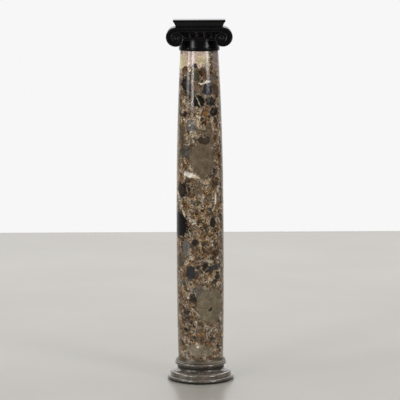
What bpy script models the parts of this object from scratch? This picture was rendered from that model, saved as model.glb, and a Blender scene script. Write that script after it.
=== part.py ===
"""A small marble column: a turned base, a breccia shaft with a swelling, and a black carved Ionic capital.

Metres, +Z up. The column stands on z = 0 with its axis on the Z axis. The capital's scrolls face -Y and +Y.
"""
import math

import bmesh
import bpy
from mathutils import Vector

# Gap that touching pieces keep to each other
SEAT_GAP = 0.0003

# Base, from the floor up: a round plinth that is cut away below its rim, a quarter-round,
# a hollow and a torus
PLINTH_HEIGHT = 0.0140
PLINTH_RIM_ROUNDING = 0.0035      # upper edge of the rim
PLINTH_UNDERCUT = 0.0100          # how far the underside stands in from the rim
QUARTER_ROUND_HEIGHT = 0.0152
QUARTER_ROUND_RADIUS = 0.0076     # its upper corner, above a straight side
HOLLOW_HEIGHT = 0.0213
TORUS_HEIGHT = 0.0100
PLINTH_PROJECTION = 0.0088        # beyond the quarter-round
QUARTER_ROUND_PROJECTION = 0.0148  # beyond the torus
TORUS_PROJECTION = 0.0037         # beyond the shaft's fillet
HOLLOW_DEPTH = 0.0091             # throat, in from the torus
HOLLOW_FILLET = 0.0020            # flat step between the quarter-round and the hollow

# Shaft
SHAFT_LENGTH = 1.0192
SHAFT_TOP_RADIUS = 0.0614
SHAFT_BELLY_RADIUS = 0.0772
SHAFT_FOOT_RADIUS = 0.0738
BELLY_LEVEL = 0.3992              # height of the widest place above the shaft's underside
UPPER_SWELL_POWER = 2.3
LOWER_SWELL_POWER = 3.0
SHAFT_ROWS = 13
FOOT_FILLET_HEIGHT = 0.0026
FOOT_FILLET_PROJECTION = 0.0080   # beyond the shaft's foot
FOOT_FLARE_HEIGHT = 0.0126
FOOT_FLARE_TURN = 50              # degrees that the flare turns outwards by

# Capital
ABACUS_WIDTH = 0.1672
ABACUS_FOOT_WIDTH = 0.1512
ABACUS_HEIGHT = 0.0210
ABACUS_BAND_HEIGHT = 0.0068
ABACUS_BAND_STEP = 0.0018
ABACUS_FOOT_FILLET = 0.0016
ABACUS_HOLLOW_POWER = 1.25        # 1 is a straight slant, and more is a deeper hollow
ABACUS_HOLLOW_SHARES = (0.35, 0.7, 1.0)
SCROLL_RADIUS = 0.0307
SCROLL_SPACING = 0.1518           # between the middles of the two rolls
SCROLL_DROP = 0.0025              # from the abacus down to the rolls
SCROLL_FACE_DEPTH = 0.1560        # from the front faces to the back faces
EYE_INSET = 0.0030                # eye, in from the middle of the roll
EYE_DROP = 0.0036                 # eye, below the middle of the roll
EYE_RADIUS = 0.0082
EYE_HEIGHT = 0.0042
EYE_SHOULDER = 0.55               # height of the eye's straight side and size of its flat top, as shares
SPIRAL_END_RADIUS = 0.0095
SPIRAL_TURNS = 2.0                # full turns from the top of the roll to the eye
SPIRAL_POWER = 1.25
RIDGE_WIDTH = 0.0036
RIDGE_CREST = 0.0016
RIDGE_HEIGHT = 0.0030
RIDGE_SINK = 0.6                  # how deep a fillet is let into the face, as a share of its height
RIDGE_END = 0.35                  # its inset at the eye, as a share of that on the roll
CHANNEL_FILLET_HEIGHT = 0.0024    # lower edge of the channel, a little lower than the spiral that it meets
ROLL_RIM = 0.0090                 # straight part of a roll behind each face
ROLL_WAIST = 0.72                 # waist of a roll, as a share of its end
ROLL_BELT = 0.80                  # belt round the waist, as a share of its end
ROLL_CURVE = ((0.6, 0.62), (0.25, 0.94))  # shares of the way from the belt, and of the drawing in there
ROLL_BELT_WIDTH = 0.0180
CANALIS_HEIGHT = 0.0165           # plain channel between the abacus and the echinus
CANALIS_RECESS = 0.0008           # behind the faces of the scrolls
ECHINUS_HEIGHT = 0.0250
ECHINUS_PROJECTION = 0.0150       # lip, beyond the neck
EGG_COUNT = 20
EGG_RELIEF = 0.0034
EGG_TURN = math.radians(12.4)     # direction of the first egg, from -Y towards +X
EGG_SHARE = 0.58                  # egg's width, as a share of the field from egg to egg
DART_SHARE = 0.12                 # dart's width, as a share of the field
DART_RELIEF = 0.55                # dart's height and groove's depth, as shares of the egg's relief
GROOVE_DEPTH = 0.35
EGG_FOOT = 0.12                   # relief that is left at the foot of the moulding, as a share of its curve
ECHINUS_BULGE = 0.8               # under 1 makes the moulding fuller than a quarter-round
ASTRAGAL_HEIGHT = 0.0050
ASTRAGAL_PROJECTION = 0.0013      # beyond the neck
NECK_OVERHANG = 0.0045            # neck, beyond the top of the shaft
NECK_SHOWING = 0.0147             # neck below the rolls
NECK_WAIST = 0.0022               # how far the neck draws in under the astragal
NECK_STRAIGHT = 0.3               # share of the neck's height that is straight, from its foot
EDGE_BREAK = 0.0008               # small bevel at worn edges

# Sinking of one carved shape in its neighbour, so that a union joins them
SINK = 0.0020

# Facets
ROUND_SEGMENTS = 40
EGG_COLUMNS = 6
ECHINUS_ROWS = 5
SCROLL_STEPS = 14                 # points in each turn of a spiral
ROLL_POINTS = 20                  # points round a roll
EYE_POINTS = 12

# Radii and levels that follow
FOOT_FILLET_RADIUS = SHAFT_FOOT_RADIUS + FOOT_FILLET_PROJECTION
TORUS_RADIUS = FOOT_FILLET_RADIUS + TORUS_PROJECTION
QUARTER_ROUND_OUTSIDE = TORUS_RADIUS + QUARTER_ROUND_PROJECTION
PLINTH_RADIUS = QUARTER_ROUND_OUTSIDE + PLINTH_PROJECTION
THROAT_RADIUS = TORUS_RADIUS - HOLLOW_DEPTH
NECK_RADIUS = SHAFT_TOP_RADIUS + NECK_OVERHANG

BASE_TOP = PLINTH_HEIGHT + QUARTER_ROUND_HEIGHT + HOLLOW_HEIGHT + TORUS_HEIGHT
SHAFT_BOTTOM = BASE_TOP + SEAT_GAP
SHAFT_TOP = SHAFT_BOTTOM + SHAFT_LENGTH
CAPITAL_BOTTOM = SHAFT_TOP + SEAT_GAP
SCROLL_BOTTOM = CAPITAL_BOTTOM + NECK_SHOWING
SCROLL_LEVEL = SCROLL_BOTTOM + SCROLL_RADIUS
SCROLL_TOP = SCROLL_LEVEL + SCROLL_RADIUS
ABACUS_BOTTOM = SCROLL_TOP + SCROLL_DROP
ABACUS_TOP = ABACUS_BOTTOM + ABACUS_HEIGHT
CANALIS_BOTTOM = ABACUS_BOTTOM - CANALIS_HEIGHT
ECHINUS_BOTTOM = CANALIS_BOTTOM - ECHINUS_HEIGHT
ASTRAGAL_BOTTOM = ECHINUS_BOTTOM - ASTRAGAL_HEIGHT

ROLL_X = SCROLL_SPACING / 2
FACE_Y = SCROLL_FACE_DEPTH / 2
EYE_X = ROLL_X - EYE_INSET
EYE_LEVEL = SCROLL_LEVEL - EYE_DROP


def clear_scene():
    for old in list(bpy.data.objects):
        bpy.data.objects.remove(old, do_unlink=True)


def stone(name, colour, roughness):
    material = bpy.data.materials.new(name)
    material.use_nodes = True
    shader = material.node_tree.nodes["Principled BSDF"]
    shader.inputs["Base Color"].default_value = (*colour, 1.0)
    shader.inputs["Roughness"].default_value = roughness
    shader.inputs["Metallic"].default_value = 0.0
    return material


def add_object(name, shape, smooth_angle=None):
    """Turn a bmesh into an object, with its faces outwards."""
    bmesh.ops.remove_doubles(shape, verts=shape.verts, dist=1e-6)
    bmesh.ops.recalc_face_normals(shape, faces=shape.faces)
    mesh = bpy.data.meshes.new(name)
    shape.to_mesh(mesh)
    shape.free()
    if smooth_angle is not None:
        mesh.shade_smooth()
        mesh.set_sharp_from_angle(angle=smooth_angle)
    thing = bpy.data.objects.new(name, mesh)
    bpy.context.scene.collection.objects.link(thing)
    return thing


def arc(middle, radii, start, end, steps):
    """Points (radius, height) on an elliptical arc, angles in degrees from outwards to upwards."""
    points = []
    for step in range(steps + 1):
        angle = math.radians(start + (end - start) * step / steps)
        points.append((middle[0] + radii[0] * math.cos(angle), middle[1] + radii[1] * math.sin(angle)))
    return points


def turned(name, profile):
    """Spin a profile of (radius, height) points, whose two ends lie on the axis."""
    shape = bmesh.new()
    points = [shape.verts.new((radius, 0.0, height)) for radius, height in profile]
    edges = [shape.edges.new(pair) for pair in zip(points, points[1:])]
    bmesh.ops.spin(
        shape, geom=points + edges, cent=(0, 0, 0), axis=(0, 0, 1), angle=math.tau,
        steps=ROUND_SEGMENTS, use_merge=True,
    )
    return add_object(name, shape, smooth_angle=math.radians(40))


def lofted(name, rings):
    """Join closed rings of points, one after the other, and close both ends."""
    shape = bmesh.new()
    loops = [[shape.verts.new(point) for point in ring] for ring in rings]
    count = len(loops[0])
    for low, high in zip(loops, loops[1:]):
        for place in range(count):
            after = (place + 1) % count
            shape.faces.new((low[place], low[after], high[after], high[place]))
    shape.faces.new(reversed(loops[0]))
    shape.faces.new(loops[-1])
    bmesh.ops.triangulate(shape, faces=shape.faces)
    return add_object(name, shape)


def make_base():
    rounding = PLINTH_RIM_ROUNDING
    rim_level = PLINTH_HEIGHT - rounding
    hollow_bottom = PLINTH_HEIGHT + QUARTER_ROUND_HEIGHT
    hollow_top = hollow_bottom + HOLLOW_HEIGHT
    throat_level = hollow_bottom + (HOLLOW_HEIGHT + HOLLOW_FILLET) / 2
    corner = QUARTER_ROUND_RADIUS
    fillet_radius = QUARTER_ROUND_OUTSIDE - corner - HOLLOW_FILLET
    half_torus = TORUS_HEIGHT / 2
    torus_middle = TORUS_RADIUS - half_torus

    profile = [(0, 0)]
    profile += arc((PLINTH_RADIUS - PLINTH_UNDERCUT, rim_level), (PLINTH_UNDERCUT, rim_level), -90, 0, 5)
    profile += arc((PLINTH_RADIUS - rounding, rim_level), (rounding, rounding), 0, 90, 3)[1:]
    profile.append((QUARTER_ROUND_OUTSIDE, PLINTH_HEIGHT))
    profile += arc((QUARTER_ROUND_OUTSIDE - corner, hollow_bottom - corner), (corner, corner), 0, 90, 4)
    profile.append((fillet_radius, hollow_bottom))
    spread = fillet_radius - THROAT_RADIUS
    fall = throat_level - hollow_bottom - HOLLOW_FILLET
    profile += arc((fillet_radius, throat_level), (-spread, -fall), 90, 0, 4)
    flare = max(torus_middle - THROAT_RADIUS, 0) + EDGE_BREAK
    profile += arc((THROAT_RADIUS + flare, throat_level), (-flare, hollow_top - throat_level), 0, 60, 2)[1:]
    profile += arc((torus_middle, hollow_top + half_torus), (half_torus, half_torus), -90, 90, 6)
    profile.append((0, BASE_TOP))
    return turned("base", profile)


def shaft_radius(level):
    """Radius of the shaft between the flare and the top: a slow swelling with its belly below half height."""
    belly = SHAFT_BOTTOM + BELLY_LEVEL
    if level >= belly:
        share = (level - belly) / (SHAFT_TOP - belly)
        return SHAFT_BELLY_RADIUS - (SHAFT_BELLY_RADIUS - SHAFT_TOP_RADIUS) * share ** UPPER_SWELL_POWER
    share = (belly - level) / (belly - SHAFT_BOTTOM - FOOT_FILLET_HEIGHT - FOOT_FLARE_HEIGHT)
    return SHAFT_BELLY_RADIUS - (SHAFT_BELLY_RADIUS - SHAFT_FOOT_RADIUS) * share ** LOWER_SWELL_POWER


def make_shaft():
    fillet_top = SHAFT_BOTTOM + FOOT_FILLET_HEIGHT
    flare_top = fillet_top + FOOT_FLARE_HEIGHT
    turn = math.radians(FOOT_FLARE_TURN)
    flare = (FOOT_FILLET_PROJECTION / (1 - math.cos(turn)), FOOT_FLARE_HEIGHT / math.sin(turn))

    profile = [(0, SHAFT_BOTTOM)]
    profile.append((FOOT_FILLET_RADIUS - EDGE_BREAK / 2, SHAFT_BOTTOM))
    profile.append((FOOT_FILLET_RADIUS, SHAFT_BOTTOM + EDGE_BREAK / 2))
    flare_middle = (SHAFT_FOOT_RADIUS + flare[0], flare_top)
    profile += arc(flare_middle, (-flare[0], -flare[1]), FOOT_FLARE_TURN, 0, 4)[:-1]
    for row in range(SHAFT_ROWS + 1):
        level = flare_top + (SHAFT_TOP - EDGE_BREAK - flare_top) * row / SHAFT_ROWS
        profile.append((shaft_radius(level), level))
    profile.append((SHAFT_TOP_RADIUS - EDGE_BREAK, SHAFT_TOP))
    profile.append((0, SHAFT_TOP))
    return turned("shaft", profile)


def make_neck():
    """Drum of the capital with the astragal on top, and a plug that reaches up into the scroll block."""
    bead = ASTRAGAL_HEIGHT / 2
    bead_middle = NECK_RADIUS + ASTRAGAL_PROJECTION - bead
    straight_top = CAPITAL_BOTTOM + (ASTRAGAL_BOTTOM - CAPITAL_BOTTOM) * NECK_STRAIGHT
    plug_radius = NECK_RADIUS - NECK_WAIST - SINK

    profile = [(0, CAPITAL_BOTTOM), (NECK_RADIUS - EDGE_BREAK, CAPITAL_BOTTOM)]
    profile.append((NECK_RADIUS, CAPITAL_BOTTOM + EDGE_BREAK))
    draw_in = (-NECK_WAIST, ASTRAGAL_BOTTOM - straight_top)
    profile += arc((NECK_RADIUS, ASTRAGAL_BOTTOM), (draw_in[0], -draw_in[1]), 90, 0, 4)
    profile += arc((bead_middle, ASTRAGAL_BOTTOM + bead), (bead, bead), -90, 90, 5)
    profile.append((plug_radius, ECHINUS_BOTTOM))
    profile.append((plug_radius, CANALIS_BOTTOM + SINK * 2))
    profile.append((0, CANALIS_BOTTOM + SINK * 2))
    return turned("neck", profile)


def egg_relief(turn, share):
    """Relief of the eggs and darts at a turn, 0 to 1 from egg to egg, and a share of the height."""
    side = abs(turn - 0.5) * 2                      # 1 in the middle of an egg, 0 at the dart
    fullness = math.sin(math.pi * min(1.0, EGG_FOOT + share * (1 - EGG_FOOT)))
    if side > 1 - EGG_SHARE:
        across = (1 - side) / EGG_SHARE
        return EGG_RELIEF * math.sqrt(max(0.0, 1 - across * across)) * fullness
    if side < DART_SHARE:
        return EGG_RELIEF * DART_RELIEF * fullness
    return -EGG_RELIEF * GROOVE_DEPTH * fullness


def make_echinus():
    """Quarter-round moulding under the scrolls, carved with eggs and darts all the way round."""
    columns = EGG_COUNT * EGG_COLUMNS
    foot = NECK_RADIUS + ASTRAGAL_PROJECTION
    lip = NECK_RADIUS + ECHINUS_PROJECTION
    inside = (foot - SINK * 2, ECHINUS_BOTTOM - SINK / 2)
    rings = [[(inside[0], inside[1], 0.0)] * columns]
    for row in range(ECHINUS_ROWS):
        share = row / (ECHINUS_ROWS - 1)
        swell = math.sin(share * math.pi / 2) ** ECHINUS_BULGE
        level = ECHINUS_BOTTOM + (ECHINUS_HEIGHT - SINK / 4) * share
        rings.append([(foot + (lip - foot) * swell, level, share)] * columns)
    rings.append([(lip - SINK * 3, CANALIS_BOTTOM + SINK, 0.0)] * columns)

    placed = []
    for ring in rings:
        points = []
        for column, (radius, level, share) in enumerate(ring):
            relief = egg_relief(column % EGG_COLUMNS / EGG_COLUMNS, share) if share else 0.0
            angle = EGG_TURN + math.tau * column / columns
            reach = radius + relief
            points.append((reach * math.sin(angle), -reach * math.cos(angle), level))
        placed.append(points)
    return lofted("echinus", placed)


def spiral_radius(turn):
    """Distance of the spiral's outer edge from the eye, from half a turn, under the roll, to the last."""
    span = (SPIRAL_TURNS - turn) / (SPIRAL_TURNS - 0.5)
    outer = EYE_LEVEL - SCROLL_BOTTOM
    return SPIRAL_END_RADIUS + (outer - SPIRAL_END_RADIUS) * max(span, 0.0) ** SPIRAL_POWER


def scroll_point(turn, inset):
    """Point (x, z) of the right scroll's edge. Turn 0 is the top of the roll, and it winds outwards."""
    angle = math.tau * turn
    if turn <= 0.5:
        reach = SCROLL_RADIUS - inset
        return ROLL_X + reach * math.sin(angle), SCROLL_LEVEL + reach * math.cos(angle)
    reach = spiral_radius(turn) - inset
    return EYE_X + reach * math.sin(angle), EYE_LEVEL + reach * math.cos(angle)


def make_roll(name, side):
    """Roll from front to back: the scroll's outline, drawn in to a waist with a belt round it."""
    outline = [scroll_point(step / ROLL_POINTS, 0.0) for step in range(ROLL_POINTS)]
    half_belt = ROLL_BELT_WIDTH / 2
    reach = FACE_Y - ROLL_RIM
    stations = [(FACE_Y, 1.0), (reach, 1.0)]
    for way, drawn in ROLL_CURVE:
        stations.append((half_belt + (reach - half_belt) * way, 1 - (1 - ROLL_WAIST) * drawn))
    stations += [(half_belt, ROLL_WAIST), (half_belt - EDGE_BREAK, ROLL_BELT)]
    stations += [(-depth, scale) for depth, scale in reversed(stations)]
    rings = []
    for depth, scale in stations:
        ring = []
        for x, z in outline:
            across = ROLL_X + (x - ROLL_X) * scale
            ring.append((side * across, -depth, SCROLL_TOP + (z - SCROLL_TOP) * scale))
        rings.append(ring)
    return lofted(name, rings)


def make_scroll_block():
    """Block between the two rolls, whose front and back carry the plain channel."""
    top = ABACUS_BOTTOM + SINK
    face = FACE_Y - CANALIS_RECESS
    ring_low = [(-ROLL_X, -face, CANALIS_BOTTOM), (ROLL_X, -face, CANALIS_BOTTOM),
                (ROLL_X, face, CANALIS_BOTTOM), (-ROLL_X, face, CANALIS_BOTTOM)]
    foot = ABACUS_FOOT_WIDTH / 2 - SINK / 2
    shoulder = SCROLL_TOP - EDGE_BREAK
    ring_shoulder = [(x, y, shoulder) for x, y, _ in ring_low]
    seat = ABACUS_BOTTOM + SINK / 4
    ring_top = [(math.copysign(foot, x), math.copysign(foot, y), seat) for x, y, _ in ring_low]
    ring_in = [(math.copysign(foot, x), math.copysign(foot, y), top) for x, y, _ in ring_low]
    return lofted("scroll_block", [ring_low, ring_shoulder, ring_top, ring_in])


def ridge_along(name, path, front, raised):
    """Raised fillet along a path of (x, z) points on the front (-Y) or the back (+Y) face."""
    sunk = raised * RIDGE_SINK
    rings = []
    for place, point in enumerate(path):
        before = Vector(path[max(place - 1, 0)])
        after = Vector(path[min(place + 1, len(path) - 1)])
        along = (after - before).normalized()
        across = Vector((-along.y, along.x))
        ring = []
        for offset, height in ((-RIDGE_WIDTH, -sunk), (RIDGE_WIDTH, -sunk), (RIDGE_CREST, raised),
                               (-RIDGE_CREST, raised)):
            spot = Vector(point) + across * offset / 2
            ring.append((spot.x * front, -front * (FACE_Y + height), spot.y))
        rings.append(ring)
    return lofted(name, rings)


def scroll_path():
    """Path of the raised fillet: from one eye out, over the channel, and in to the other eye."""
    inset = RIDGE_WIDTH / 2 + EDGE_BREAK
    right = []
    steps = round(SPIRAL_TURNS * SCROLL_STEPS)
    for step in range(steps + 1):
        turn = SPIRAL_TURNS * step / steps
        ease = 1.0 if turn <= 0.5 else max(RIDGE_END, 1.0 - (turn - 0.5))
        right.append(scroll_point(turn, inset * ease))
    left = [(-x, z) for x, z in reversed(right)]
    return left + right


def make_eye(name, x, front):
    """Round boss in the middle of a scroll."""
    rings = []
    for height, share in ((-SINK, 1.0), (EYE_HEIGHT * EYE_SHOULDER, 1.0), (EYE_HEIGHT, EYE_SHOULDER)):
        ring = []
        for step in range(EYE_POINTS):
            angle = math.tau * step / EYE_POINTS
            reach = EYE_RADIUS * share
            spot = (x + reach * math.cos(angle), EYE_LEVEL + reach * math.sin(angle))
            ring.append((spot[0], -front * (FACE_Y + height), spot[1]))
        rings.append(ring)
    return lofted(name, rings)


def make_abacus():
    """Square slab that widens upwards in a hollow curve to a flat band."""
    foot = ABACUS_FOOT_WIDTH / 2
    band = ABACUS_WIDTH / 2
    band_bottom = ABACUS_TOP - ABACUS_BAND_HEIGHT
    under_band = band - ABACUS_BAND_STEP
    hollow_bottom = ABACUS_BOTTOM + ABACUS_FOOT_FILLET
    rise = band_bottom - hollow_bottom
    sections = [(foot, ABACUS_BOTTOM), (foot, hollow_bottom)]
    for share in ABACUS_HOLLOW_SHARES:
        spread = (under_band - foot) * share ** ABACUS_HOLLOW_POWER
        sections.append((foot + spread, hollow_bottom + rise * share))
    sections += [(band, band_bottom + EDGE_BREAK / 2), (band, ABACUS_TOP)]
    rings = [[(-half, -half, z), (half, -half, z), (half, half, z), (-half, half, z)] for half, z in sections]
    return lofted("abacus", rings)


def joined(name, parts):
    """Union the carved shapes into one closed solid and remove the shapes themselves.

    The EXACT solver leaves open edges where the spiral crosses the rolls, so the MANIFOLD solver joins them.
    """
    whole, *others = parts
    for other in others:
        union = whole.modifiers.new("join", "BOOLEAN")
        union.operation = "UNION"
        union.solver = "MANIFOLD"
        union.object = other
    bpy.context.view_layer.update()
    evaluated = whole.evaluated_get(bpy.context.evaluated_depsgraph_get())
    mesh = bpy.data.meshes.new_from_object(evaluated)
    for part in parts:
        bpy.data.objects.remove(part, do_unlink=True)
    mesh.name = name
    solid = bpy.data.objects.new(name, mesh)
    bpy.context.scene.collection.objects.link(solid)
    return solid


def make_capital():
    lower_fillet = [(-EYE_X, CANALIS_BOTTOM + RIDGE_WIDTH / 4), (EYE_X, CANALIS_BOTTOM + RIDGE_WIDTH / 4)]
    parts = [make_scroll_block(), make_roll("roll_right", 1), make_roll("roll_left", -1), make_abacus()]
    parts += [make_neck(), make_echinus()]
    for front in (1, -1):
        parts.append(ridge_along("scroll_ridge", scroll_path(), front, RIDGE_HEIGHT))
        parts.append(ridge_along("channel_fillet", lower_fillet, front, CHANNEL_FILLET_HEIGHT))
        parts += [make_eye("eye", side * EYE_X, front) for side in (1, -1)]
    return joined("capital", parts)


def main():
    clear_scene()
    pieces = (
        (make_base(), stone("grey-brown marble", (0.115, 0.098, 0.080), 0.18)),
        (make_shaft(), stone("brown breccia marble", (0.150, 0.115, 0.075), 0.15)),
        (make_capital(), stone("black marble", (0.008, 0.0075, 0.008), 0.25)),
    )
    for piece, material in pieces:
        piece.data.materials.clear()
        piece.data.materials.append(material)


main()
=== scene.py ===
# %% [markdown]
# # A small marble column
# Three stones stand on each other: a turned foot of plain grey-brown marble, a swelling shaft of breccia,
# and a black carved capital with scrolls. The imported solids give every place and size. Here each stone gets
# the fine surface that a polisher or a carver would leave, and a finish that comes from the kind of marble
# it is.

# %% Load the frame
import collections
import math

import bmesh
import bpy
from mathutils import Matrix, Vector


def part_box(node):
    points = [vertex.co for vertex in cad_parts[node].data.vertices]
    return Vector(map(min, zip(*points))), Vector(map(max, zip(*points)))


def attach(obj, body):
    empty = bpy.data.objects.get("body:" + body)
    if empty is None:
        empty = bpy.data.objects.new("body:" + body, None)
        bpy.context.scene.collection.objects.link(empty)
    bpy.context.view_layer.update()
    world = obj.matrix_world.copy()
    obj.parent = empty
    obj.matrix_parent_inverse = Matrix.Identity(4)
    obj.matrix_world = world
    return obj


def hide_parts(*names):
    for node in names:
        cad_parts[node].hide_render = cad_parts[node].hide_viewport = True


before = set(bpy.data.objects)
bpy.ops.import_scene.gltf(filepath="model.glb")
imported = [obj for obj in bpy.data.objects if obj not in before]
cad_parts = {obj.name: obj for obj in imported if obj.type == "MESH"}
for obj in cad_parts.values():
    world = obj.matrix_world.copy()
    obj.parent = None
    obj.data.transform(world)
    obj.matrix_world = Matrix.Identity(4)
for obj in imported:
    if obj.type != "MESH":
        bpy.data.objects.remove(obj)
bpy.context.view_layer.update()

# %% [markdown]
# ## Camera
# The picture was taken from about six metres with a long lens, a little above the top of the column and
# looking slightly down. Such a lens keeps the shaft's sides nearly parallel. The camera is also turned a
# quarter of a degree about its own axis, because the column leans by that much in the picture.

# %% Camera
IMAGE_WIDTH = 400                 # pixels, the frame that the picture is taken in
FOCAL_PIXELS = 1823.0             # lens length in pixels of that frame
SENSOR_WIDTH = 36.0               # mm
CAMERA_DISTANCE = 5.9006          # m in front of the column's axis
CAMERA_HEIGHT = 1.3789            # m above the floor
CAMERA_TILT = math.radians(7.596)     # downwards
CAMERA_ROLL = math.radians(-0.27)

lens = bpy.data.cameras.new("camera")
lens.sensor_width = SENSOR_WIDTH
lens.lens = FOCAL_PIXELS * SENSOR_WIDTH / IMAGE_WIDTH
camera = bpy.data.objects.new("camera", lens)
bpy.context.scene.collection.objects.link(camera)
camera.matrix_world = (
    Matrix.Translation((0.0, -CAMERA_DISTANCE, CAMERA_HEIGHT))
    @ Matrix.Rotation(math.pi / 2 - CAMERA_TILT, 4, "X")
    @ Matrix.Rotation(CAMERA_ROLL, 4, "Z")
)
bpy.context.scene.camera = camera
print("lens", round(lens.lens, 1), "mm")

# %% [markdown]
# ## Helpers for shapes
# Turned stone is a profile that is spun round the axis. Carved mouldings are a closed section that is
# extruded from place to place. Both start from a few vertices, and Blender's operators make the faces.

# %% Turning and sweeping
SHARP_ANGLE = math.radians(32)    # edges sharper than this stay crisp


def arc(middle, radii, start, end, steps):
    """Points (across, up) on an elliptical arc, with angles in degrees from outwards to upwards."""
    points = []
    for step in range(steps + 1):
        angle = math.radians(start + (end - start) * step / steps)
        points.append((middle[0] + radii[0] * math.cos(angle), middle[1] + radii[1] * math.sin(angle)))
    return points


def spun(profile, segments):
    """Spin a profile of (radius, height) points round Z. Its two ends lie on the axis."""
    shape = bmesh.new()
    points = [shape.verts.new((radius, 0.0, height)) for radius, height in profile]
    edges = [shape.edges.new(pair) for pair in zip(points, points[1:])]
    bmesh.ops.spin(
        shape, geom=points + edges, cent=(0, 0, 0), axis=(0, 0, 1), angle=math.tau,
        steps=segments, use_merge=True,
    )
    bmesh.ops.remove_doubles(shape, verts=shape.verts, dist=1e-6)
    return shape


def swept(rings):
    """Extrude a closed ring of points from place to place, and close both ends."""
    shape = bmesh.new()
    verts = [shape.verts.new(point) for point in rings[0]]
    edges = [shape.edges.new((verts[place - 1], verts[place])) for place in range(len(verts))]
    for ring in rings[1:]:
        made = bmesh.ops.extrude_edge_only(shape, edges=edges)["geom"]
        edges = [item for item in made if isinstance(item, bmesh.types.BMEdge)]
        number = {vert: place for place, vert in enumerate(verts)}
        moved = list(verts)
        for vert in (item for item in made if isinstance(item, bmesh.types.BMVert)):
            place = next(number[e.other_vert(vert)] for e in vert.link_edges if e.other_vert(vert) in number)
            vert.co = ring[place]
            moved[place] = vert
        verts = moved
    bmesh.ops.holes_fill(shape, edges=[edge for edge in shape.edges if edge.is_boundary], sides=0)
    return shape


def finish_shape(name, shape):
    """Make a bmesh an object at the origin: faces outwards, and smooth shading between crisp edges."""
    bmesh.ops.recalc_face_normals(shape, faces=shape.faces)
    if any(len(edge.link_faces) != 2 for edge in shape.edges):
        print(name, "has open edges")
    mesh = bpy.data.meshes.new(name)
    shape.to_mesh(mesh)
    shape.free()
    mesh.shade_smooth()
    mesh.set_sharp_from_angle(angle=SHARP_ANGLE)
    piece = bpy.data.objects.new(name, mesh)
    bpy.context.scene.collection.objects.link(piece)
    return piece


def settle(piece, node):
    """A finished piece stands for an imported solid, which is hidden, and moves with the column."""
    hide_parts(node)
    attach(piece, "root")
    print(piece.name, len(piece.data.polygons), "faces")


# %% [markdown]
# ## Foot
# On the real column the foot was turned on a lathe from one block: a disc that is cut away below its rim, a
# quarter-round, a hollow, and a small torus that carries the shaft. One spun profile does the same. Its
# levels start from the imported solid's own underside and rim.

# %% Foot
base_low, base_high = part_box("base")
PLINTH_HEIGHT = 0.0140
PLINTH_RIM_ROUNDING = 0.0045      # how far the rim is rounded inwards
PLINTH_RIM_FALL = 0.0070          # and downwards
PLINTH_UNDERCUT = 0.0100
PLINTH_PROJECTION = 0.0088
QUARTER_ROUND_HEIGHT = 0.0152
QUARTER_ROUND_RADIUS = 0.0076
QUARTER_ROUND_PROJECTION = 0.0148
TORUS_HEIGHT = 0.0100
HOLLOW_DEPTH = 0.0091
HOLLOW_FILLET = 0.0020
HOLLOW_UNDER_TORUS = 0.0008       # how far the hollow runs in under the torus
LATHE_GROOVE = 0.0006             # fine line that the lathe left where two mouldings meet
TURNED_SEGMENTS = 160

plinth_radius = base_high.x
quarter_radius = plinth_radius - PLINTH_PROJECTION
torus_radius = quarter_radius - QUARTER_ROUND_PROJECTION
throat_radius = torus_radius - HOLLOW_DEPTH


def foot_profile():
    """Outline of the foot as (radius, height) points, from the middle of its underside to that of its top."""
    rounding = PLINTH_RIM_ROUNDING
    corner = QUARTER_ROUND_RADIUS
    half_torus = TORUS_HEIGHT / 2
    rim_level = PLINTH_HEIGHT - PLINTH_RIM_FALL
    hollow_bottom = PLINTH_HEIGHT + QUARTER_ROUND_HEIGHT
    hollow_top = base_high.z - TORUS_HEIGHT
    throat_level = hollow_bottom + (hollow_top - hollow_bottom + HOLLOW_FILLET) / 2
    fillet_radius = quarter_radius - corner - HOLLOW_FILLET
    torus_middle = torus_radius - half_torus
    flare = torus_middle - throat_radius + HOLLOW_UNDER_TORUS
    fall = throat_level - hollow_bottom - HOLLOW_FILLET
    undercut_radius = plinth_radius - PLINTH_UNDERCUT
    profile = [(0, base_low.z)]
    profile += arc((undercut_radius, rim_level), (PLINTH_UNDERCUT, rim_level), -90, 0, steps=14)
    profile += arc((plinth_radius - rounding, rim_level), (rounding, PLINTH_RIM_FALL), 0, 90, steps=12)[1:]
    profile.append((quarter_radius, PLINTH_HEIGHT - LATHE_GROOVE))
    profile += arc((quarter_radius - corner, hollow_bottom - corner), (corner, corner), 0, 90, steps=12)
    profile.append((fillet_radius, hollow_bottom))
    profile += arc((fillet_radius, throat_level), (throat_radius - fillet_radius, -fall), 90, 0, steps=14)
    rise = hollow_top - throat_level
    profile += arc((throat_radius + flare, throat_level), (-flare, rise), 0, 60, steps=6)[1:]
    profile += arc((torus_middle, hollow_top + half_torus), (half_torus, half_torus), -90, 90, steps=16)
    profile.append((0, base_high.z))
    return profile


foot = finish_shape("turned_foot", spun(foot_profile(), TURNED_SEGMENTS))
settle(foot, "base")

# %% [markdown]
# ## Shaft
# A classical shaft isn't a straight cone. It swells slowly to a belly below half height and draws in again
# to the foot, where it flares to a small square edge. The radius is one formula for each half, so many rows
# cost nothing.

# %% Shaft
shaft_low, shaft_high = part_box("shaft")
SHAFT_TOP_RADIUS = 0.0614
SHAFT_BELLY_RADIUS = 0.0772
SHAFT_FOOT_RADIUS = 0.0738
BELLY_LEVEL = shaft_low.z + 0.3992
UPPER_SWELL_POWER = 2.3
LOWER_SWELL_POWER = 3.0
FOOT_FILLET_HEIGHT = 0.0026
FOOT_FLARE_HEIGHT = 0.0126
FOOT_FLARE_TURN = 50              # degrees that the flare turns outwards by
SHAFT_EDGE_BREAK = 0.0008
SHAFT_ROWS = 60

fillet_edge = shaft_high.x
flare_level = shaft_low.z + FOOT_FILLET_HEIGHT + FOOT_FLARE_HEIGHT


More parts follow.
